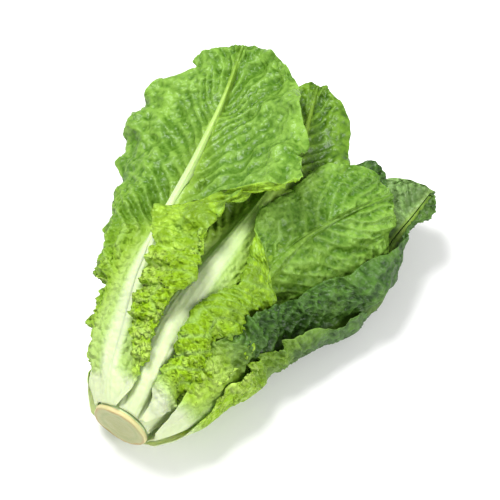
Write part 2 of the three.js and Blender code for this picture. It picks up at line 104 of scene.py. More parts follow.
# Leaves from the inside out. Stations: x, distance from the cut face, height, facing, widths and forms
LEAVES = [
    wrapped("leaf_heart_top", "heart", 0.02, 0, 150, 46, [4, 5], 20, 0.3, 12, 2, 3),
    wrapped("leaf_heart_low", "heart", 0.49, 0, 165, 40, [5, 4], 24, 1.3, 12, 2, 3),
    wrapped("leaf_inner_left", "light", -0.2, -0.02, 182, 32, [9, 10], 34, 2.3, 14, 3, 4),
    wrapped("leaf_inner_right", "light", 0.16, 0, 196, 28, [10, 10], 38, 3.3, 14, 3, 4),
    wrapped("leaf_inner_low", "light", 0.46, 0, 214, 24, [11, 9], 46, 4.3, 14, 3, 4),
    placed("leaf_behind_right", "dark", [8, 5], [0, 0.5, 1.5, 2, 2], 0.8, 18, 3, [
        [9, 20, 52, 22, 9, "open", 9, "open"],
        [18, 68, 56, 24, 16, "open", 18, "open"],
        [28, 118, 58, 24, 26, "open", 32, "open"],
        [38, 168, 60, 24, 34, "open", 40, "open"],
        [50, 212, 60, 24, 34, "open", 38, "open"],
        [60, 256, 59, 26, 24, "open", 28, "open"],
    ]),
    placed("leaf_front_middle", "middle", [27, 7.5], [0, 0.6, 1.2, 1.6, 2.2, 2.4], 1.9, 24, 4, [
        [8, 6, 56, 22, 10, "open", 10, "open"],
        [3, 52, 70, 8, 22, "open", 20, "open"],
        [4, 98, 78, 6, 34, "valley", 27, "open"],
        [8, 144, 80, 5, 44, "valley", 34, "open"],
        [10, 188, 80, 6, 46, "valley", 40, "open"],
        [7, 234, 80, 8, 42, "valley", 40, "lobe"],
        [-5, 280, 82, 8, 26, "rise", 34, "lobe"],
    ]),
    placed("leaf_outer_left", "middle", [11, 7], [0, 1.5, 2, 2.4, 2.4, 2], 4.4, 22, 4, [
        [-19, 6, 36, -90, 9, "open", 9, "open"],
        [-36, 36, 34, -92, 20, "open", 26, "frill"],
        [-50, 66, 32, -91, 24, "open", 36, "frill"],
        [-62, 96, 31, -89, 24, "open", 40, "frill"],
        [-70, 126, 33, -86, 24, "open", 36, "frill"],
        [-74, 154, 38, -82, 22, "open", 28, "open"],
    ]),
    placed("leaf_front_right", "light", [7, 4.5], [0, 1.8, 2.4, 2.4, 2.2, 2.2], 2.6, 24, 6, [
        [17, 5, 48, 55, 12, "short", 8, "open"],
        [29, 48, 53, 40, 58, "short", 22, "open"],
        [33, 90, 57, 34, 68, "short", 40, "open"],
        [36, 132, 62, 30, 36, "short", 54, "open"],
        [45, 171, 67, 28, 32, "open", 62, "open"],
        [61, 204, 69, 28, 38, "open", 58, "open"],
        [80, 236, 65, 30, 30, "open", 40, "open"],
    ]),
    placed("leaf_front_left", "light", [14, 7.5], [0, 1.5, 2, 3, 4.4, 4], 0.2, 26, 6, [
        [-10, 4, 54.5, -28, 9, "open", 9, "late"],
        [-25, 51, 67, -28, 23, "open", 52, "strip"],
        [-36, 97, 75, -28, 37, "open", 90, "strip"],
        [-43, 140, 80, -26, 58, "pillow", 94, "strip"],
        [-48, 183, 83, -24, 72, "pillow", 92, "swell"],
        [-55, 231, 86, -20, 71, "pillow", 70, "lobe"],
        [-66, 280, 88, -16, 36, "lobe", 52, "lobe"],
    ]),
    placed("leaf_outer_right", "dark", [11, 7], [0, 1.5, 2.4, 2.8, 2.4, 2], 5.2, 24, 6, [
        [21.5, 4, 36, 92, 9, "open", 9, "open"],
        [33, 50, 34, 104, 26, "cup", 18, "open"],
        [46, 98, 30, 120, 34, "upcurl", 26, "open"],
        [61, 143, 29, 134, 35, "brim", 34, "open"],
        [76, 184, 29, 146, 34, "brim", 44, "open"],
        [90, 226, 31, 154, 30, "brim", 54, "open"],
        [97, 268, 40, 158, 30, "open", 54, "open"],
    ]),
    placed("leaf_under_right", "dark", [12, 7], [0, 1.5, 2, 2.2, 2.2], 3.7, 18, 4, [
        [15, 4, 21, 135, 9, "open", 9, "open"],
        [27, 44, 17, 140, 30, "cup", 24, "open"],
        [38, 84, 14, 146, 38, "cup", 30, "open"],
        [47, 124, 12, 152, 34, "cup", 30, "open"],
        [54, 164, 11, 155, 26, "cup", 28, "open"],
        [60, 200, 10, 156, 16, "open", 22, "open"],
    ]),
    placed("leaf_under_left", "middle", [12, 7], [0, 1, 1.6, 1.8, 1.8], 2.2, 18, 4, [
        [-15, 4, 21, -135, 9, "open", 9, "open"],
        [-25, 50, 17, -140, 26, "open", 24, "open"],
        [-34, 98, 13, -145, 32, "open", 28, "open"],
        [-43, 146, 12, -150, 36, "open", 28, "open"],
        [-50, 192, 11, -152, 34, "open", 26, "open"],
        [-56, 236, 11, -154, 24, "open", 20, "open"],
    ]),
    placed("leaf_under_middle", "middle", [13, 7], [0, 0.8, 1, 1.2, 1.4], 0.9, 18, 4, [
        [0, 4, 14.5, 180, 9, "open", 9, "open"],
        [0, 55, 7, 180, 26, "flat", 26, "flat"],
        [2, 104, 5, 180, 40, "sprawl", 40, "spread"],
        [5, 154, 4, 180, 46, "sprawl", 46, "spread"],
        [10, 204, 4, 180, 44, "sprawl", 44, "spread"],
        [16, 252, 6, 180, 30, "flat", 30, "flat"],
    ]),
]


# Small helpers
def unit(v):
    return v / np.maximum(np.linalg.norm(v, axis=-1, keepdims=True), 1e-9)


def along(rows, u):
    """A smooth curve through rows that are evenly spaced, read at the shares u."""
    ends = np.concatenate([2 * rows[:1] - rows[1:2], rows, 2 * rows[-1:] - rows[-2:-1]])
    x = np.clip(u, 0, 1) * (len(rows) - 1)
    k = np.minimum(x.astype(int), len(rows) - 2)
    t = (x - k).reshape((-1,) + (1,) * (rows.ndim - 1))
    a, b, c, d = ends[k], ends[k + 1], ends[k + 2], ends[k + 3]
    square = 2 * a - 5 * b + 4 * c - d
    return 0.5 * (2 * b + (c - a) * t + square * t**2 + (3 * b - a - 3 * c + d) * t**3)


def row_places(count, tip_start):
    body = int(count * 0.74 + 0.5)
    tip = np.sin(np.linspace(0, math.pi / 2, count - body + 1))
    return np.concatenate([np.linspace(0, tip_start, body + 1)[:-1], tip_start + (0.995 - tip_start) * tip])


def column_places(outer):
    half = np.concatenate([[0.5, 1], 1 + np.arange(1, outer + 1) / outer])
    return np.concatenate([-half[::-1], [0], half])


def tip_share(u, tip_start):
    return np.sqrt(np.maximum(1 - (np.maximum(u - tip_start, 0) / (1 - tip_start)) ** 2, 0))


def grid_normals(grid):
    return unit(np.cross(np.gradient(grid, axis=1), np.gradient(grid, axis=0)))


def rib_bulge(thick, share):
    return thick * np.maximum(1 - share**2, 0) ** 0.75


def ruffled(grid, leaf, places, lengths, shares):
    size = np.interp(places, np.linspace(0, 1, len(leaf["ruffle"])), leaf["ruffle"])[:, None]
    angle = 2 * math.pi * lengths[:, None] / leaf["wave"] + leaf["phase"] + np.where(shares > 0, 2, 0)
    wave = np.sin(angle) + 0.45 * np.sin(1.9 * angle + 1.3)
    return grid + grid_normals(grid) * (size * np.abs(shares) ** 2.2 * wave)[..., None]


# Middle surface of a placed leaf, with its own measures at each point
def placed_surface(leaf):
    rows = []
    for x, y, z, facing, left, left_form, right, right_form in leaf["stations"]:
        rows.append([x, y, z, facing, left, *FORMS[left_form], right, *FORMS[right_form]])
    rows = np.array(rows, float)
    places = row_places(leaf["rows"], leaf["tip_start"])
    s = along(rows, places)
    spine = s[:, :3]
    ahead = along(rows[:, :3], np.minimum(places + 2e-3, 1))
    tangent = unit(ahead - along(rows[:, :3], np.maximum(places - 2e-3, 0)))
    turn = np.radians(s[:, 3])
    facing = np.stack([np.sin(turn), 0 * turn, np.cos(turn)], 1)
    normal = unit(facing - (facing * tangent).sum(1, keepdims=True) * tangent)
    side = np.cross(tangent, normal)
    lengths = np.concatenate([[0], np.cumsum(np.linalg.norm(np.diff(spine, axis=0), axis=1))])
    rib_width = leaf["rib"][0] * (1 - places) ** 1.6 + 0.9
    rib_thick = (leaf["rib"][1] * (1 - places) ** 1.4 + 0.5) * np.clip(lengths / BASE_SWELL, 0.12, 1)
    steps = 40
    points, arcs, ribs, shares = [], [], [], []
    for column in column_places(leaf["outer"]):
        sign, far = (-1, -column) if column < 0 else (1, column)
        first = 4 if sign < 0 else 9
        phase = leaf["phase"] + (2.1 if sign > 0 else 0)
        wobble = np.sin(lengths / 7 + phase) + np.sin(lengths / 3.9 + 2 * phase)
        width = np.maximum(np.maximum(s[:, first], 3) * tip_share(places, leaf["tip_start"]), 0.6)
        width = width * (1 + 0.035 * wobble)
        rib = np.minimum(rib_width, 0.6 * width)
        arc = rib * far if far <= 1 else rib + (width - rib) * (far - 1)
        x = (np.arange(steps) + 0.5) / steps
        heading = np.radians(np.stack([np.interp(x, (0, 0.5, 1), h) for h in s[:, first + 1:first + 4]]))
        roll = np.clip((x[None] - s[:, first + 4, None]) * width[:, None] / ROLL_ARC, 0, 1)
        heading = heading + ROLL_TURN * roll * roll * (3 - 2 * roll)
        blank = np.zeros((len(places), 1))
        across = np.concatenate([blank, np.cumsum(np.cos(heading), 1)], 1) * width[:, None] / steps
        outward = np.concatenate([blank, np.cumsum(np.sin(heading), 1)], 1) * width[:, None] / steps
        at = arc / width * steps
        k = np.minimum(at.astype(int), steps - 1)
        t = at - k
        r = np.arange(len(places))
        sideways = across[r, k] * (1 - t) + across[r, k + 1] * t
        out = outward[r, k] * (1 - t) + outward[r, k + 1] * t
        points.append(spine + sign * side * sideways[:, None] + normal * out[:, None])
        ribs.append(rib_bulge(rib_thick, arc / rib))
        arcs.append(sign * arc)
        shares.append(sign * arc / width)
    grid, ribs, arcs, shares = (np.stack(v, 1) for v in (points, ribs, arcs, shares))
    measures = np.stack([lengths[:, None] + 0 * arcs, arcs, shares, rib_width[:, None] + 0 * arcs], -1)
    return ruffled(grid, leaf, places, lengths, shares), ribs, measures


# The head as a flat band with round sides: a place round it, a depth, and back
def band_half(y):
    return np.interp(y, BAND_AT, BAND_HALF)


def band_point(y, way, depth):
    c = band_half(y)
    half = 2 * c + math.pi * BAND_ROUND
    s = (way + half) % (2 * half) - half
    a = np.abs(s)
    angle = np.clip((a - c) / BAND_ROUND, 0, math.pi)
    low = a - c - math.pi * BAND_ROUND
    x = np.where(a < c, a, np.where(low < 0, c + depth * np.sin(angle), c - low))
    z = np.where(a < c, depth, np.where(low < 0, depth * np.cos(angle), -depth))
    return np.stack([np.where(s < 0, -x, x), y + 0 * s, AXIS_HEIGHT + z], -1)


def band_place(p):
    x, y, up = p[..., 0], p[..., 1], p[..., 2] - AXIS_HEIGHT
    c = band_half(y)
    dx = x - np.clip(x, -c, c)
    depth = np.hypot(dx, up)
    far = np.abs(x)
    way = c + BAND_ROUND * np.arctan2(np.maximum(far - c, 0), up)
    way = np.where(far < c, np.where(up >= 0, far, 2 * c + math.pi * BAND_ROUND - far), way)
    share = np.where(x < 0, -1, 1) * way / (2 * (2 * c + math.pi * BAND_ROUND))
    out = np.stack([dx, 0 * x, up], -1) / np.maximum(depth, 1e-6)[..., None]
    return (share + 1) % 1, y, depth, out


def wrapped_surface(leaf):
    wrap = leaf["wrap"]
    places = row_places(leaf["rows"], leaf["tip_start"])
    lengths = wrap["length"] * places
    u = places[:, None]
    column = column_places(leaf["outer"])[None]
    y = wrap["start"] + lengths[:, None]
    round_way = 2 * (2 * band_half(y) + math.pi * BAND_ROUND)
    swell = 0.3 + 0.8 * np.sin(math.pi * np.minimum(1, 0.1 + 0.85 * u))
    plain = np.maximum(wrap["width"] * swell * tip_share(u, leaf["tip_start"]), 0.8)
    full = plain * (1 + 0.04 * np.sin(lengths[:, None] / 7 + leaf["phase"] + np.sign(column)))
    rib_width = leaf["rib"][0] * (1 - u) ** 1.3 + 1.6
    rib = np.minimum(rib_width, 0.6 * full)
    far = np.abs(column)
    arc = np.where(far <= 1, rib * far, rib + (full - rib) * (far - 1))
    arcs = np.sign(column) * arc
    depth = wrap["depth"][0] + (wrap["depth"][1] - wrap["depth"][0]) * u
    grid = band_point(y + 0 * arcs, (wrap["share"] + wrap["turn"] * u) * round_way + arcs, depth + 0 * arcs)
    ribs = rib_bulge(leaf["rib"][1] * (1 - u) ** 1.2 + 0.5, arc / rib)
    shares = arcs / full
    measures = np.stack([lengths[:, None] + 0 * arcs, arcs, shares, rib_width + 0 * arcs], -1)
    return ruffled(grid, leaf, places, lengths, shares), ribs, measures


def leaf_faces(leaf):
    grid, ribs, measures = wrapped_surface(leaf) if leaf["wrap"] else placed_surface(leaf)
    normals = grid_normals(grid)
    outer = grid + normals * (BLADE / 2 + ribs)[..., None]
    inner = grid - normals * BLADE / 2
    outer[0, :, 1] = inner[0, :, 1] = grid[0, :, 1].min()
    return outer, inner, measures


# Leaves are kept apart as the solids are: each moves outward where it would touch what is already there
def samples(face):
    t = (np.arange(6) + 0.5) / 6
    a, b, c, d = face[:-1, :-1], face[:-1, 1:], face[1:, :-1], face[1:, 1:]
    spread = [(1 - u) * ((1 - v) * a + v * b) + u * ((1 - v) * c + v * d) for u in t for v in t]
    return np.concatenate([np.stack(spread).reshape(-1, 3), face.reshape(-1, 3)])


def cells_of(share, y):
    i = np.floor(share * ROUND).astype(int) % ROUND
    return i, np.clip(np.floor((y - FIRST) / STEP).astype(int), 0, ALONG - 1)


def read_cells(cells, share, y):
    fi = share * ROUND - 0.5
    fj = np.clip((y - FIRST) / STEP - 0.5, 0, ALONG - 1.001)
    i, j = np.floor(fi).astype(int), np.floor(fj).astype(int)
    a, b = fi - i, fj - j
    i, i2, j2 = i % ROUND, (i + 1) % ROUND, np.minimum(j + 1, ALONG - 1)
    return ((cells[i, j] * (1 - a) + cells[i2, j] * a) * (1 - b)
            + (cells[i, j2] * (1 - a) + cells[i2, j2] * a) * b)


def pooled(cells, reach, combine):
    near = combine([np.roll(cells, d, 0) for d in range(-reach, reach + 1)], axis=0)
    pad = np.pad(near, ((0, 0), (reach, reach)), mode="edge")
    return combine([pad[:, d:d + ALONG] for d in range(2 * reach + 1)], axis=0)


def settle(outer, inner, filled):
    for _ in range(9):
        share, y, depth, _ = band_place(np.concatenate([samples(outer), samples(inner)]))
        low = np.full((ROUND, ALONG), np.inf)
        np.minimum.at(low, cells_of(share, y), depth)
        need = np.maximum(filled + LAYER_GAP - low, 0)
        if need.max() < 0.25:
            break
        lift = pooled(pooled(need, 4, np.max), 4, np.mean)
        for face in (outer, inner):
            share, y, depth, out = band_place(face)
            face += out * read_cells(lift, share, y)[..., None]
    share, y, depth, _ = band_place(np.concatenate([samples(outer), samples(inner)]))
    np.maximum.at(filled, cells_of(share, y), depth)


def press(outer, inner):
    low = outer[..., 2] < TABLE
    inner[..., 2] = np.where(low, np.maximum(inner[..., 2], TABLE + BLADE), inner[..., 2])
    outer[..., 2] = np.maximum(outer[..., 2], TABLE)


def stem_filled():
    y = FIRST + (np.arange(ALONG) + 0.5) * STEP
    inside = (y > -1) & (y < STEM_AT[-1] + 2)
    return np.tile(np.where(inside, np.interp(y, STEM_AT, STEM_RADIUS) + 0.2, 0.0), (ROUND, 1))


# Patterns on the leaves
def lattice(i, j, seed):
    h = np.sin(i * 127.1 + j * 311.7 + seed * 74.7) * 43758.5453
    return h - np.floor(h)


def noise(x, y, seed):
    """Smooth noise from -1 to 1 with a step of 1."""
    i, j = np.floor(x), np.floor(y)
    a, b = x - i, y - j
    a, b = a * a * (3 - 2 * a), b * b * (3 - 2 * b)
    low = lattice(i, j, seed) * (1 - a) + lattice(i + 1, j, seed) * a
    high = lattice(i, j + 1, seed) * (1 - a) + lattice(i + 1, j + 1, seed) * a
    return 2 * (low * (1 - b) + high * b) - 1


def blisters(x, y, seed):
    """0 on the border between cells, rising to 1 inside them; the cells have a step of 1."""
    i, j = np.floor(x), np.floor(y)
    near = np.full(x.shape, 9.0)
    next_near = np.full(x.shape, 9.0)
    for di in (-1, 0, 1):
        for dj in (-1, 0, 1):
            p, q = i + di, j + dj
            far = np.hypot(p + lattice(p, q, seed) - x, q + lattice(p, q, seed + 5) - y)
            next_near = np.minimum(next_near, np.maximum(near, far))
            near = np.minimum(near, far)
    return np.clip((next_near - near) * 1.6, 0, 1)


def step(low, high, x):
    t = np.clip((x - low) / (high - low), 0, 1)
    return t * t * (3 - 2 * t)


# Fine surfaces from the settled faces
def read_across(grid, t):
    """Reads each row of a grid at its own places t, smoothly."""
    count = grid.shape[1]
    ends = np.concatenate([2 * grid[:, :1] - grid[:, 1:2], grid, 2 * grid[:, -1:] - grid[:, -2:-1]], 1)
    t = np.clip(t, 0, count - 1)
    k = np.minimum(t.astype(int), count - 2)
    f = (t - k)[..., None]
    r = np.arange(len(grid))[:, None]
    a, b, c, d = ends[r, k], ends[r, k + 1], ends[r, k + 2], ends[r, k + 3]
    square = 2 * a - 5 * b + 4 * c - d
    return 0.5 * (2 * b + (c - a) * f + square * f**2 + (3 * b - a - 3 * c + d) * f**3)


# The usual look of a leaf, in millimetres along the leaf or off its face.
# Waves, crinkle, relief, pleat and fold are strengths of the relief, and smooth is where it sets in.
# Lime is the share of lime green, and reach is where it ends.
# Low is where the palest lime fades, and greener keeps it off the left blade.
# White is the end of the white base, and how much sooner it ends at the margin.
# Rib is the rib's paleness. Fade is how much it greens, from where and to where.
# Glow is the paleness beside the rib, its width and its end.
# Outside is the paleness of the outer face, and shaded is the painted shade on the left blade's inner face.
# Least is the smallest half width of the rib. Notch is a side, a place and a depth.
USUAL = dict(
    relief=3.6, pleat=0.8, fold=0, smooth=(0, 30),
    reach=130, low=(45, 165), greener=0, white=(75, 55),
    rib=1, fade=(0.6, 90, 260), glow=(0.42, 8, 190),
    outside=1, shaded=0, least=1.5, notch=(1, 0, 0),
)
INNER_LOOK = dict(grid=(110, 56), waves=0.8, crinkle=0.8, lime=1.0)
LOOKS = {
    "leaf_front_left": dict(grid=(270, 150), waves=1.0, crinkle=1.15, lime=0.9, reach=125, low=(80, 195),
                            greener=1, relief=5.4, fold=1.3, glow=(0.5, 9, 300), white=(85, 115),
                            notch=(-1, 262, 3)),
    # Its stronger, wider glow is partly the rib's own pale band and partly painted light on the blade beside
    # the rib, where the strip above shades it.
    "leaf_front_middle": dict(grid=(240, 110), waves=1.0, crinkle=1.1, lime=0.7, fade=(0.66, 80, 205),
                              glow=(0.6, 11, 300)),
    "leaf_front_right": dict(grid=(240, 130), waves=1.2, crinkle=1.1, lime=0.9, rib=0.12, reach=105,
                             relief=4.8, pleat=0.12, fold=2.6),
    "leaf_behind_right": dict(grid=(150, 70), waves=1.0, crinkle=1.2, lime=0.2, rib=0.3, outside=0.1),
    "leaf_outer_right": dict(grid=(240, 116), waves=1.3, crinkle=1.7, lime=0.8, reach=64, smooth=(25, 80),
                             shaded=0.85, pleat=0.3, outside=0.15, fold=0.8, least=3.4),
    "leaf_outer_left": dict(grid=(190, 96), waves=1.4, crinkle=1.0, lime=1.0, white=(58, 55)),
    "leaf_under_right": dict(grid=(170, 88), waves=1.4, crinkle=1.2, lime=0.95, smooth=(30, 85), reach=100,
                             pleat=0.3, rib=0.6, outside=0.1),
    "leaf_under_left": dict(grid=(150, 80), waves=0.9, crinkle=0.8, lime=0.8),
    "leaf_under_middle": dict(grid=(150, 80), waves=0.7, crinkle=0.7, lime=0.8),
}
VEIN_SPACING = 12
NET_SPACING = 8.3
TOOTH_SHARE = 0.38
YOUNG_ENDS = (60, 190)


def toothed(t, length, look, middle, seed):
    """Draws the outer columns in by uneven shares, which gives the margin its small teeth."""
    soft = step(*YOUNG_ENDS, length)
    jag = 0.5 + 0.5 * noise(length / 9, t * 0 + np.sign(t) * 7, seed)
    jag = jag + (0.6 - 0.5 * soft) * noise(length / 3.1, t * 0 + np.sign(t) * 3, seed + 2)
    side, place, depth = look["notch"]
    notch = depth * np.exp(-(((length - place) / 4) ** 2)) * (t * side > 0)
    return t * (1 - TOOTH_SHARE / middle * np.abs(t) ** 5 * (jag + notch))


def side_veins(at, seed):
    """Veins that leave the rib and bend toward the tip, the swell between them, and their bend."""
    bend = 5 * noise(at.length / 30, at.arc / 40, seed + 3)
    spread = at.length - 1.45 * at.far + 0.007 * at.far**2 + 2.2 * bend
    spread = spread + 7 * noise(at.length / 17, at.arc / 26, seed + 29)
    line = spread / VEIN_SPACING + np.where(at.arc > 0, 0.5, 0) + seed * 0.37
    off = np.abs(line - np.round(line)) * VEIN_SPACING
    vein = np.exp(-((off / (0.6 + 1.5 * (1 - at.share))) ** 2)) * at.blade * (1 - 0.75 * at.share)
    ridge = 0.5 + 0.5 * np.cos(2 * math.pi * line)
    line = (at.length + 0.3 * at.far + 2 * bend) / NET_SPACING + seed
    off = np.abs(line - np.round(line)) * NET_SPACING
    net = 0.35 * np.exp(-((off / 0.5) ** 2)) * at.blade * step(10, 16, at.far)
    return np.maximum(vein, net), 1 - (1 - ridge) ** 1.5, bend


def blade_relief(at, look, vein, swell, bend, seed):
    """Height of the blisters, pleats, broad waves and folds, and the painted shade for how deep each point
    lies between them.
    """
    wx = at.length + 2.6 * noise(at.length / 9, at.arc / 9, seed + 7)
    wy = at.arc + 2.6 * noise(at.length / 9, at.arc / 9, seed + 8)
    dome = blisters(wx / 6.2, wy / 5.0, seed)
    small = blisters(wx / 3.4, wy / 3.0, seed + 11)
    tight = 1 - step(90, 190, at.length)
    beside = step(0.9, 2.2, at.far / at.rib) * (1 - step(0.3, 0.85, at.share + 0.2 * at.waves))
    beside = beside * (1 - 0.6 * step(170, 245, at.length))
    patch = np.clip(0.5 + 0.8 * noise(at.length / 24, at.arc / 20, seed + 23), 0.1, 1.2)
    domes = 1.7 * dome + (0.7 + 1.0 * tight) * small
    height = -look["crinkle"] * at.blade * (1 - vein) * domes * (1 - 0.8 * at.soft * (1 - patch))
    height = height + 0.6 * vein
    pleats = (3.2 * beside * look["pleat"] + 0.4) * patch * (swell - 0.6)
    height = height + at.blade * (look["relief"] * at.waves + pleats)
    crease = noise(at.length / 60 + 0.1 * bend, (at.arc - 0.12 * at.length * np.sign(at.arc)) / 8, seed + 31)
    height = height + look["fold"] * at.blade * crease * step(0, 0.2, at.share)
    # Painted shade: the colour darkens in the hollows of the pleats, folds and blisters and beside the rib,
    # and lightens on the wave crests.
    painted_hollow_shade = -0.35 * look["fold"] * crease + beside * look["pleat"] * (1 - swell) * 1.1
    painted_hollow_shade = painted_hollow_shade + (0.45 + 0.3 * tight) * dome + 0.22 * beside - 0.25 * at.waves
    return height, np.clip(painted_hollow_shade, 0, 1)


def margin_waves(at, look, seed):
    """Waves that grow toward the margin, finer near the base of the leaf."""
    angle = at.length + 5 * noise(at.length / 17, at.arc * 0 + np.sign(at.arc), seed + 19)
    turn = angle * 2 * math.pi
    ripple = 2.2 * np.sin(turn / 14 + seed) + 1.3 * np.sin(turn / 6.7 + 2 * seed)
    gentle = 2.0 * np.sin(turn / 31 + seed)
    return look["waves"] * at.blade * at.share**2.5 * (ripple * (1 - 0.8 * at.soft) + gentle)


def colour_values(at, look, t):
    """Shares that the materials read: pale rib and base, lime of the young blade, and the painted shade on one
    half of the inner face.
    """
    edge = (at.far - 0.2 * at.rib) / (0.8 * at.rib + 2.6)
    ribbed = (1 - step(0, 1, edge)) * (1 - 0.8 * step(232, 285, at.length))
    reach, aside = look["white"]
    white = 1 - step(10, reach, at.length + aside * at.share * step(5, 45, at.length))
    strong, wide, ends = look["glow"]
    glow = strong * np.exp(-np.maximum(at.far - at.rib, 0) / wide) * (1 - step(50, ends, at.length))
    fade, start, end = look["fade"]
    ribbed = ribbed * look["rib"] * (1 - fade * step(start, end, at.length))
    pale = np.maximum(ribbed, np.maximum(white, glow))
    plain = pale * (1 - (1 - look["outside"]) * step(40, 90, at.length))
    tender = step(0.0, 1.0, 1.35 - at.length / look["reach"] + 0.1 * at.share + 0.12 * at.waves)
    # painted shade: on the left half the inner face takes less of its own back colour and more of the darker
    # front greens
    inner = 1 - look["shaded"] * step(-0.03, 0.03, -t)
    low = (1 - step(*look["low"], at.length)) * (1 - 0.8 * step(0.1, 0.7, -t * look["greener"]))
    young = tender * look["lime"]
    return dict(inner=(0 * t, inner), pale=(plain, pale), young=young, share=at.share, low=low)


def fine_leaf(leaf, outer, inner, measures, seed):
    look = dict(USUAL, **LOOKS.get(leaf["name"], INNER_LOOK))
    rows, columns = look["grid"]
    thick = np.linalg.norm(outer - inner, axis=-1, keepdims=True)
    coarse = np.concatenate([inner, thick, measures], -1)
    tall = along(coarse, np.linspace(0, 1, rows))
    middle = (coarse.shape[1] - 1) / 2
    t = np.linspace(-1, 1, columns)[None] + np.zeros((rows, 1))
    t = toothed(t, tall[:, coarse.shape[1] // 2, 4][:, None], look, middle, seed)
    fine = read_across(tall, middle + t * middle)
    base, thick = fine[..., :3], fine[..., 3]
    at = SimpleNamespace(length=fine[..., 4], arc=fine[..., 5], share=np.abs(fine[..., 6]))
    at.rib = np.maximum(fine[..., 7], look["least"])
    at.far = np.abs(at.arc)
    at.soft = step(*YOUNG_ENDS, at.length)
    at.blade = step(0.8, 1.8, at.far / at.rib) * step(*look["smooth"], at.length)
    at.waves = noise(at.length / 23, at.arc / 17, seed + 13)
    at.waves = at.waves + 0.5 * noise(at.length / 11, at.arc / 9, seed + 17)
    vein, swell, bend = side_veins(at, seed)
    height, painted_hollow_shade = blade_relief(at, look, vein, swell, bend, seed)
    height = height + margin_waves(at, look, seed)
    grooves = 0.16 * np.sin(at.arc * 1.9 + noise(at.length / 40, at.arc / 5, seed)) * (1 - at.blade)
    lying = "under" in leaf["name"]
    if lying:
        height = np.minimum(height, 0.15)
    normals = grid_normals(base)
    low = base + normals * height[..., None]
    high = base + normals * (height + grooves + np.maximum(thick - BLADE, 0) + FINE_BLADE)[..., None]
    high[0, :, 1] = low[0, :, 1] = base[0, :, 1].min()
    if lying:
        high[..., 2] = np.maximum(high[..., 2], TABLE)
        low[..., 2] = np.maximum(low[..., 2], TABLE + 0.3)
    # The hollows' painted shade goes to the materials as a value.
    values = dict(colour_values(at, look, t), vein=vein, dome=painted_hollow_shade)
    return grid_object(leaf["name"].replace("leaf_", "fine_"), high, low, values)


# Meshes
def mesh_object(name, points, faces, values):
    mesh = bpy.data.meshes.new(name)
    mesh.from_pydata((points / 1000).tolist(), [], faces)
    for key, value in values.items():
        numbers = np.asarray(value, np.float32).ravel()
        mesh.attributes.new(key, "FLOAT", "POINT").data.foreach_set("value", numbers)
    mesh.shade_smooth()
    piece = bpy.data.objects.new(name, mesh)
    bpy.context.scene.collection.objects.link(piece)
    return piece


def grid_object(name, high, low, values):
    """Two grids joined at their border. A value may be a pair, for the outer and the inner face."""
    n, m = high.shape[:2]
    i, j = (v.ravel() for v in np.meshgrid(np.arange(n - 1), np.arange(m - 1), indexing="ij"))
    a = i * m + j
    top = np.stack([a, a + 1, a + m + 1, a + m], 1)
    border = np.concatenate([np.arange(m), np.arange(1, n) * m + m - 1, (n - 1) * m + np.arange(m - 1)[::-1],
                             np.arange(1, n - 1)[::-1] * m])
    after = np.roll(border, -1)
    count = n * m
    rim = np.stack([border, border + count, after + count, after], 1)
    faces = np.concatenate([top, top[:, ::-1] + count, rim])
    pairs = {key: v if isinstance(v, tuple) else (v, v) for key, v in values.items()}
    doubled = {key: np.concatenate([out.ravel(), back.ravel()]) for key, (out, back) in pairs.items()}
    points = np.concatenate([high.reshape(-1, 3), low.reshape(-1, 3)]) + SHIFT
    return mesh_object(name, points, faces.tolist(), doubled)


def rim_dip(turn):
    """Share by which the rim of the cut face draws in, five times round."""
    return 0.02 * (1 + np.cos(5 * turn + 1))


def fine_stem():
    around = 120
    turn = np.linspace(0, 2 * math.pi, around, endpoint=False)
    rings = [(r, 0.0) for r in np.linspace(0.6, 18.6, 16)] + [(19.4, 0.05), (20.1, 0.5)]
    rings += list(zip(STEM_RADIUS[1:], STEM_AT[1:]))
    points, cut, radius = [], [], []
    for r, y in rings:
        rim = step(12, 20, np.array(float(r)))
        uneven = 1 - (rim_dip(turn) + 0.012 * noise(turn * 6, turn * 0, 3)) * (y < 3.3) * rim
        dip = 0.35 * noise(r * np.cos(turn) / 5, r * np.sin(turn) / 5, 4) + 0.12 * np.cos(r * 1.7)
        depth = y + 0.35 + dip if y == 0 else y + 0 * turn
        out = r * uneven
        points.append(np.stack([out * np.sin(turn), depth + 0 * turn, AXIS_HEIGHT + out * np.cos(turn)], 1))
        cut.append(np.full(around, 1.0 if y < 0.2 else (0.6 if y < 3.3 else 0.0)))
        radius.append(np.full(around, r / CUT_RADIUS))
    points.append([[0, 0.35, AXIS_HEIGHT], [0, STEM_AT[-1], AXIS_HEIGHT]])
    faces = []
    last = (len(rings) - 1) * around
    for i in range(around):
        j = (i + 1) % around
        for start in range(0, last, around):
            faces.append([start + i, start + j, start + around + j, start + around + i])
        faces += [[last + around, j, i], [last + around + 1, last + i, last + j]]
    values = dict(cut=np.concatenate(cut + [[1, 0]]), radius=np.concatenate(radius + [[0, 0]]))
    return mesh_object("fine_stem", np.concatenate(points) + SHIFT, faces, values)


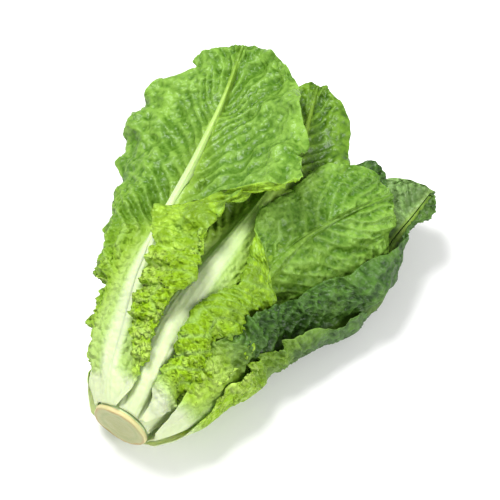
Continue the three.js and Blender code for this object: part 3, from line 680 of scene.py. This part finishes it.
# Materials
class Graph:
    """A short way to write a material's nodes."""

    def __init__(self, name):
        self.material = bpy.data.materials.new(name)
        self.material.use_nodes = True
        self.tree = self.material.node_tree
        self.tree.nodes.clear()

    def put(self, socket, value):
        if isinstance(value, bpy.types.NodeSocket):
            self.tree.links.new(value, socket)
        elif hasattr(socket.default_value, "__len__") and not hasattr(value, "__len__"):
            socket.default_value = (value, value, value, 1)[:len(socket.default_value)]
        else:
            socket.default_value = value

    def node(self, kind, settings=None, **sockets):
        node = self.tree.nodes.new(kind)
        for key, value in (settings or {}).items():
            setattr(node, key, value)
        for key, value in sockets.items():
            self.put(node.inputs[key.replace("_", " ")], value)
        return node

    def value(self, name):
        return self.node("ShaderNodeAttribute", dict(attribute_name=name)).outputs["Fac"]

    def math(self, operation, *values, clamp=False):
        node = self.node("ShaderNodeMath", dict(operation=operation, use_clamp=clamp))
        for socket, value in zip(node.inputs, values):
            self.put(socket, value)
        return node.outputs[0]

    def scaled(self, value, by, plus, clamp=False):
        return self.math("MULTIPLY_ADD", value, by, plus, clamp=clamp)

    def times(self, value, by, clamp=False):
        return self.math("MULTIPLY", value, by, clamp=clamp)

    def less(self, value, by, clamp=False):
        return self.math("SUBTRACT", value, by, clamp=clamp)

    def mix(self, share, a, b):
        node = self.node("ShaderNodeMix", dict(data_type="RGBA", blend_type="MIX", clamp_factor=True))
        for index, value in ((0, share), (6, a), (7, b)):
            self.put(node.inputs[index], value)
        return node.outputs[2]

    def noise(self, scale, detail=3, rough=0.55):
        where = self.node("ShaderNodeTexCoord").outputs["Object"]
        settings = dict(Scale=scale, Detail=detail, Roughness=rough)
        return self.node("ShaderNodeTexNoise", None, Vector=where, **settings).outputs["Fac"]

    def cells(self, scale):
        where = self.node("ShaderNodeTexCoord").outputs["Object"]
        node = self.node("ShaderNodeTexVoronoi", dict(feature="DISTANCE_TO_EDGE"), Vector=where, Scale=scale)
        return node.outputs["Distance"]

    def pillows(self, scale):
        """Rounded swellings, as between the small veins of a blistered blade."""
        where = self.node("ShaderNodeTexCoord").outputs["Object"]
        drifting = self.node("ShaderNodeTexNoise", None, Vector=where, Scale=scale * 0.5, Detail=2)
        moved = self.node("ShaderNodeVectorMath", dict(operation="MULTIPLY_ADD"))
        for socket, value in zip(moved.inputs, (drifting.outputs["Color"], (0.9 / scale,) * 3, where)):
            self.put(socket, value)
        kind = dict(feature="SMOOTH_F1")
        node = self.node("ShaderNodeTexVoronoi", kind, Vector=moved.outputs[0], Scale=scale, Smoothness=0.35)
        return self.scaled(node.outputs["Distance"], -1.35, 1.0, clamp=True)

    def bump(self, height, strength, distance):
        node = self.node("ShaderNodeBump", None, Height=height, Strength=strength, Distance=distance)
        return node.outputs[0]

    def finish(self, shader):
        self.tree.links.new(shader, self.node("ShaderNodeOutputMaterial").inputs["Surface"])
        return self.material


def colour(r, g, b):
    return (r, g, b, 1.0)


def brighter(tint, by):
    return colour(*(min(c * by, 1) for c in tint[:3]))


CREAM = colour(0.55, 0.77, 0.34)
WHITE = colour(0.70, 0.80, 0.48)
GLOW = colour(0.40, 0.62, 0.07)
LIME = colour(0.38, 0.64, 0.012)
DEEP_LIME = colour(0.18, 0.40, 0.003)
PALE_LIME = colour(0.68, 0.90, 0.20)


def leaf_material(name, bright, deep, back, rough):
    g = Graph(name)
    broad, mid, fine = g.noise(38), g.noise(130, 4), g.noise(420, 4)
    cells, pillow = g.times(g.cells(250), 2.2, clamp=True), g.pillows(230)
    young, share, inner = g.value("young"), g.value("share"), g.value("inner")

    # painted light and shade: how light each point is, with random tone from the noise, darker near the rib,
    # between the pillows and in the hollows, and lighter on the crests
    lift = g.scaled(mid, 2.6, g.scaled(broad, 1.1, -1.40))
    lift = g.scaled(share, 0.35, lift)
    lift = g.scaled(g.less(pillow, 0.45), 0.9, lift)
    # painted shade from the hollows' value
    lift = g.less(lift, g.scaled(g.value("dome"), 1.0, -0.15), clamp=True)

    # green blade, lime where it is young, pale veins and edge
    # The lift mixes each green between its deep and bright tone, so these tones carry painted shade and light
    # as well as the blade's own tone.
    lamina = g.mix(g.times(inner, 0.8), g.mix(lift, deep, bright), g.mix(lift, brighter(back, 0.45), back))
    lime = g.mix(g.times(g.value("low"), 0.85), g.mix(lift, DEEP_LIME, LIME), g.mix(lift, LIME, PALE_LIME))
    tender = g.math("ADD", young, g.scaled(broad, 0.5, -0.25), clamp=True)
    lamina = g.mix(tender, lamina, lime)
    lamina = g.mix(g.times(g.value("vein"), 0.75), lamina, g.mix(tender, bright, CREAM))
    seams = g.times(g.math("SUBTRACT", 0.5, cells, clamp=True), 0.5)
    lamina = g.mix(seams, lamina, g.mix(tender, bright, LIME))
    edge = g.times(g.less(share, 0.955), 14, clamp=True)
    lamina = g.mix(g.times(edge, 0.6), lamina, g.mix(tender, brighter(bright, 1.5), PALE_LIME))

    # rib and base
    pale = g.math("POWER", g.value("pale"), 1.2)
    rise = g.times(g.less(pale, 0.22), 1.6, clamp=True)
    whole = g.mix(g.times(pale, 2.5, clamp=True), lamina, g.mix(rise, GLOW, g.mix(rise, CREAM, WHITE)))

    relief = g.scaled(fine, 0.1, g.scaled(mid, 0.5, g.times(cells, 0.12)))
    relief = g.scaled(pillow, g.scaled(young, 0.75, 0.5), relief)
    rugged = g.scaled(young, 0.9, g.scaled(broad, 0.6, 0.15))
    normal = g.bump(relief, g.times(rugged, g.scaled(pale, -0.85, 1.0)), 0.0032)
    roughness = g.scaled(young, 0.1, g.scaled(broad, 0.16, rough - 0.16))
    skin = g.node("ShaderNodeBsdfPrincipled", None, Base_Color=whole, Roughness=roughness, Normal=normal)
    skin.inputs["IOR"].default_value = 1.42
    g.put(skin.inputs["Subsurface Weight"], g.times(rise, 0.35))
    skin.inputs["Subsurface Radius"].default_value = (0.5, 0.6, 0.15)
    skin.inputs["Subsurface Scale"].default_value = 0.008
    g.put(skin.inputs["Specular IOR Level"], g.scaled(young, -0.22, 0.42))
    through = g.node("ShaderNodeBsdfTranslucent", None, Color=whole, Normal=normal)
    both = g.node("ShaderNodeMixShader", None, Fac=0.22)
    g.tree.links.new(skin.outputs[0], both.inputs[1])
    g.tree.links.new(through.outputs[0], both.inputs[2])
    return g.finish(both.outputs[0])


def stem_material():
    g = Graph("stem_flesh")
    broad, fine = g.noise(110, 4), g.noise(900, 4)
    radius = g.math("ADD", g.value("radius"), g.scaled(broad, 0.12, -0.06))
    face = g.mix(radius, colour(0.38, 0.40, 0.16), colour(0.47, 0.49, 0.22))
    ring = g.math("SUBTRACT", 1.0, g.times(g.math("ABSOLUTE", g.less(radius, 0.66)), 9), clamp=True)
    face = g.mix(g.times(ring, 0.5), face, colour(0.30, 0.38, 0.14))
    edge = g.times(g.less(radius, 0.86), 8, clamp=True)
    face = g.mix(g.times(edge, g.math("ADD", broad, 0.35)), face, colour(0.52, 0.29, 0.09))
    face = g.mix(g.times(g.math("GREATER_THAN", fine, 0.62), 0.25), face, colour(0.62, 0.45, 0.2))
    whole = g.mix(g.value("cut"), g.mix(broad, CREAM, WHITE), face)
    normal = g.bump(g.math("ADD", fine, broad), 0.35, 0.0008)
    skin = g.node("ShaderNodeBsdfPrincipled", None, Base_Color=whole, Roughness=0.5, Normal=normal)
    skin.inputs["Subsurface Weight"].default_value = 0.15
    skin.inputs["Subsurface Radius"].default_value = (0.004, 0.004, 0.002)
    return g.finish(skin.outputs[0])


def floor_material():
    g = Graph("floor_paint")
    tint = g.mix(g.noise(3), colour(0.90, 0.90, 0.90), colour(0.92, 0.92, 0.915))
    skin = g.node("ShaderNodeBsdfPrincipled", None, Base_Color=tint, Roughness=0.7)
    return g.finish(skin.outputs[0])


HEART, DEEP_HEART = colour(0.48, 0.68, 0.12), colour(0.24, 0.42, 0.03)
LIGHT, DEEP_LIGHT = colour(0.25, 0.46, 0.065), colour(0.07, 0.19, 0.006)
MIDDLE, DEEP_MIDDLE = colour(0.155, 0.31, 0.022), colour(0.03, 0.095, 0.004)
# The dark greens are partly the outer leaves' own deep green and partly painted shade, made darker for the
# leaves on the shaded right and under side.
DARK, DEEP_DARK, DARK_BACK = colour(0.085, 0.20, 0.028), colour(0.014, 0.05, 0.005), colour(0.43, 0.69, 0.23)
SLOTS = {
    "heart": ("leaf_heart", leaf_material("heart_leaf", HEART, DEEP_HEART, LIME, 0.44)),
    "light": ("leaf_light", leaf_material("light_leaf", LIGHT, DEEP_LIGHT, LIME, 0.44)),
    "middle": ("leaf_middle", leaf_material("middle_leaf", MIDDLE, DEEP_MIDDLE, LIME, 0.44)),
    "dark": ("leaf_dark", leaf_material("dark_leaf", DARK, DEEP_DARK, DARK_BACK, 0.46)),
}

# Shift from the leaves' own origin to the frame, read at the lowest corner of the stem's cut rim
turns = np.linspace(0, 2 * math.pi, 48, endpoint=False)
rim = CUT_RADIUS * (1 - rim_dip(turns))
stem_low = np.array(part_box("stem")[0]) * 1000
SHIFT = stem_low - np.array([(rim * np.sin(turns)).min(), 0, AXIS_HEIGHT + (rim * np.cos(turns)).min()])

# The pieces
filled = stem_filled()
for number, leaf in enumerate(LEAVES):
    outer, inner, measures = leaf_faces(leaf)
    settle(outer, inner, filled)
    if "under" in leaf["name"]:
        press(outer, inner)
    piece = fine_leaf(leaf, outer, inner, measures, number * 3.0 + 1)
    slot, material = SLOTS[leaf["green"]]
    piece.data.materials.append(material)
    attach(piece, "root")
    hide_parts(leaf["name"])

stem = fine_stem()
stem.data.materials.append(stem_material())
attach(stem, "root")
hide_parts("stem")

# Floor, light and camera
bpy.ops.mesh.primitive_plane_add(size=12, location=(0, 0, 0))
floor = bpy.context.object
floor.name = "floor"
floor.data.materials.append(floor_material())

TARGET = Vector((np.array([6.6, 163.4, 33.0]) + SHIFT) / 1000)
AZIMUTH, ELEVATION = math.radians(30), math.radians(60)
CAMERA_AWAY = 1.5
VIEW_WIDTH = 0.35
SENSOR = 36
LIGHT_AWAY = 1.6
LEVEL = Vector((-math.sin(AZIMUTH), math.cos(AZIMUTH), 0))
FORWARD = LEVEL * math.cos(ELEVATION) - Vector((0, 0, math.sin(ELEVATION)))
RIGHT = Vector((math.cos(AZIMUTH), math.sin(AZIMUTH), 0))
UP = RIGHT.cross(FORWARD)

camera = bpy.data.objects.new("camera", bpy.data.cameras.new("camera"))
bpy.context.scene.collection.objects.link(camera)
camera.location = TARGET - FORWARD * CAMERA_AWAY
camera.rotation_euler = FORWARD.to_track_quat("-Z", "Y").to_euler()
camera.data.sensor_width = SENSOR
camera.data.lens = SENSOR * CAMERA_AWAY / VIEW_WIDTH
bpy.context.scene.camera = camera


def light(name, towards, power, size):
    lamp = bpy.data.lights.new(name, "AREA")
    lamp.energy = power
    lamp.size = size
    item = bpy.data.objects.new(name, lamp)
    bpy.context.scene.collection.objects.link(item)
    item.location = TARGET + towards.normalized() * LIGHT_AWAY
    item.rotation_euler = (-towards).to_track_quat("-Z", "Y").to_euler()


light("key", -RIGHT * 0.3 + UP * 0.75 - FORWARD * 0.75, 31, 0.6)
light("fill", RIGHT * 0.75 - UP * 0.15 - FORWARD * 0.8, 17, 0.8)

world = bpy.data.worlds.new("studio")
world.use_nodes = True
world.node_tree.nodes["Background"].inputs["Color"].default_value = (1, 1, 1, 1)
world.node_tree.nodes["Background"].inputs["Strength"].default_value = 0.5
bpy.context.scene.world = world
bpy.context.scene.view_settings.view_transform = "Standard"
